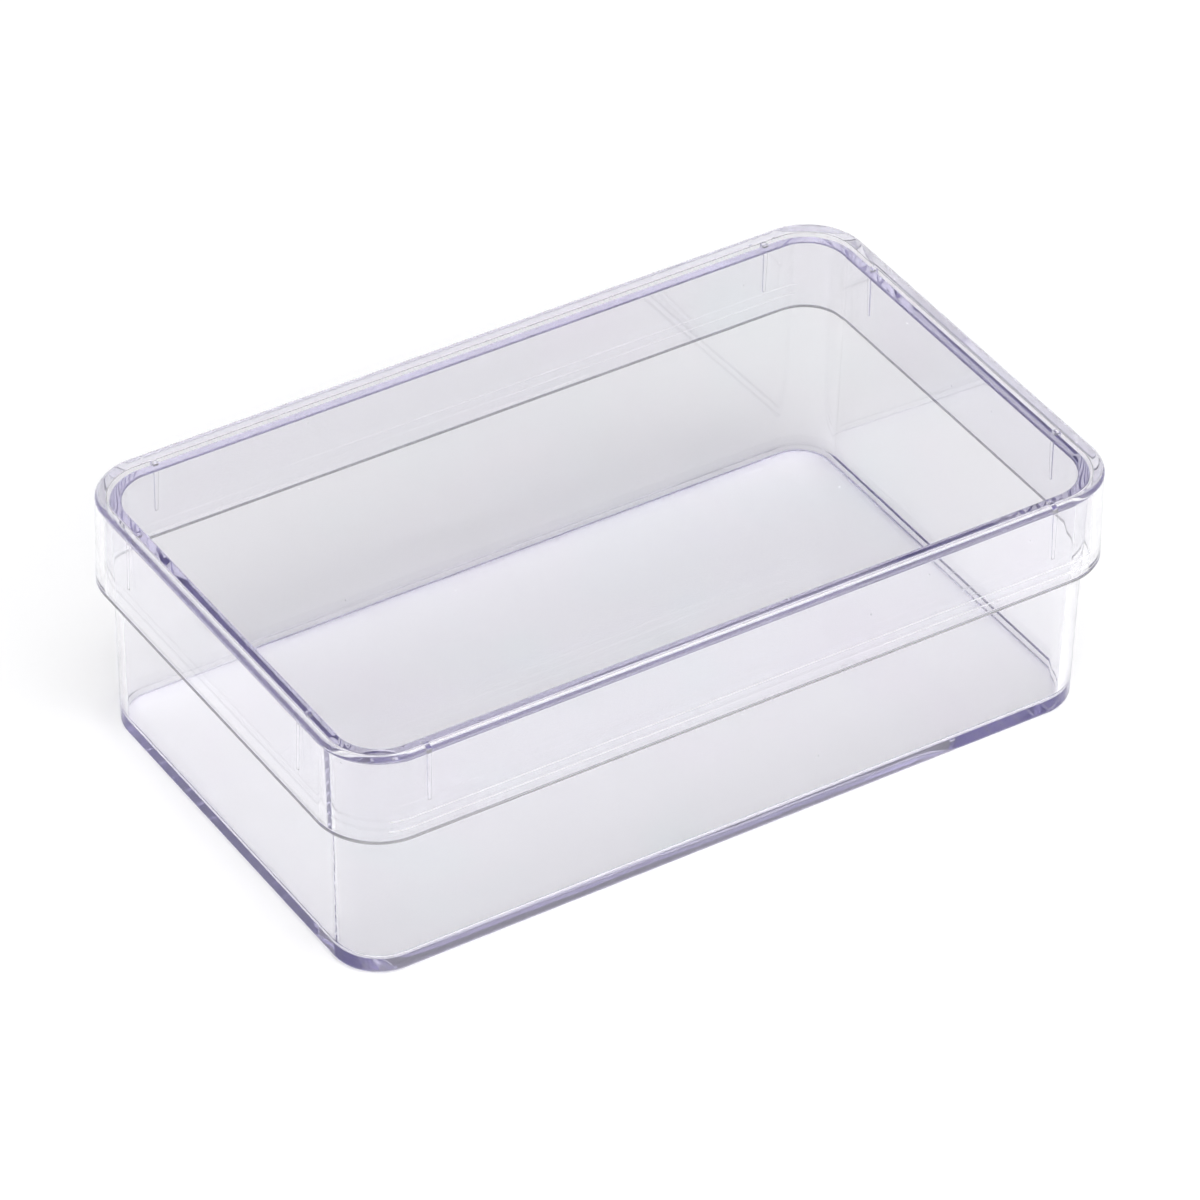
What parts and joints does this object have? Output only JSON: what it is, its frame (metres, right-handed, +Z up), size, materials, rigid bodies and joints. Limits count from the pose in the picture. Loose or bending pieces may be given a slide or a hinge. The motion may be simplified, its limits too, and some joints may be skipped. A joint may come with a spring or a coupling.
{
  "type": "lidded storage box",
  "caption": "Clear moulded rectangular storage box with rounded corners and a flat lift-off lid whose skirt reaches down over the walls.",
  "frame": {"origin": "centre of the box's underside, on the surface it rests on", "axes": "+X along the long side, +Y across to the back, +Z up, the way the lid lifts off"},
  "size_m": [0.1004, 0.0608, 0.0317],
  "materials": {
    "clear_plastic": "clear gloss"
  },
  "bodies": {
    "box": {"box": "clear_plastic"},
    "lid": {"lid": "clear_plastic"}
  },
  "joints": [
    {"name": "lid_lift", "type": "slide", "parent": "box", "child": "lid", "axis": [0, 0, 1], "range_m": [0, 0.04]}
  ]
}
